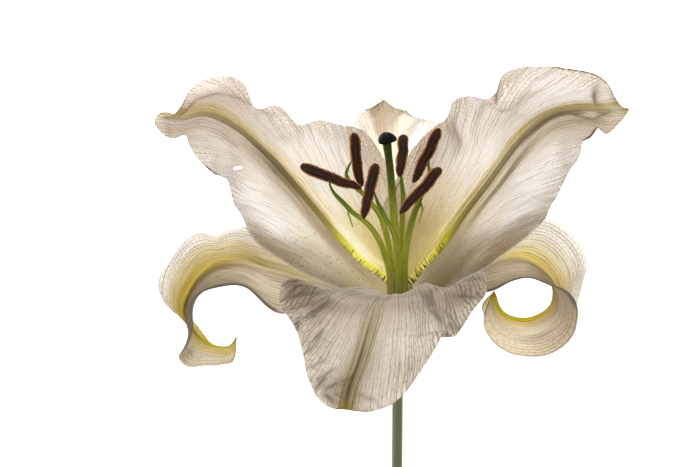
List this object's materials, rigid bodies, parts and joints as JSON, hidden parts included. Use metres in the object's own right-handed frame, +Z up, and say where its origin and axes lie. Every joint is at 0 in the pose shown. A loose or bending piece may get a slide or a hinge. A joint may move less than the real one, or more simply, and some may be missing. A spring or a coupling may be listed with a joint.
{
  "type": "lily",
  "caption": "Cut white lily lying on a surface, its recurved petals open round long stamens and a tall pistil, on a short bare stem.",
  "frame": {"origin": "centre of the overall box at the surface that the flower lies on", "axes": "+Y from the cut stem towards the open flower, +Z up, with the front petal on top and the back petals' margins and the stem's cut end on the surface"},
  "size_m": [0.2047, 0.2095, 0.1213],
  "materials": {
    "stem": "matte, fleshy green stalk",
    "petal_left": "satin, thin ivory petal with net veins",
    "petal_right": "satin, thin ivory petal with net veins",
    "petal_front": "satin, thin ivory petal with net veins",
    "sepal_left": "satin, thin ivory sepal with a yellow-green band",
    "sepal_right": "satin, thin ivory sepal with a yellow-green band",
    "sepal_back": "satin, thin ivory sepal with a yellow-green band",
    "pistil": "satin, yellow-green style and ovary",
    "stigma": "sticky, purple-black",
    "filament_1": "satin, green stalk",
    "anther_1": "powdery, dark red-brown",
    "filament_2": "satin, green stalk",
    "anther_2": "powdery, dark red-brown",
    "filament_3": "satin, green stalk",
    "anther_3": "powdery, dark red-brown",
    "filament_4": "satin, green stalk",
    "anther_4": "powdery, dark red-brown",
    "filament_5": "satin, green stalk",
    "anther_5": "powdery, dark red-brown",
    "filament_6": "satin, green stalk",
    "anther_6": "powdery, dark red-brown"
  },
  "bodies": {
    "root": {"stem": "stem", "petal_left": "petal_left", "petal_right": "petal_right", "petal_front": "petal_front", "sepal_left": "sepal_left", "sepal_right": "sepal_right", "sepal_back": "sepal_back", "pistil": "pistil", "stigma": "stigma", "filament_1": "filament_1", "anther_1": "anther_1", "filament_2": "filament_2", "anther_2": "anther_2", "filament_3": "filament_3", "anther_3": "anther_3", "filament_4": "filament_4", "anther_4": "anther_4", "filament_5": "filament_5", "anther_5": "anther_5", "filament_6": "filament_6", "anther_6": "anther_6"}
  },
  "joints": []
}
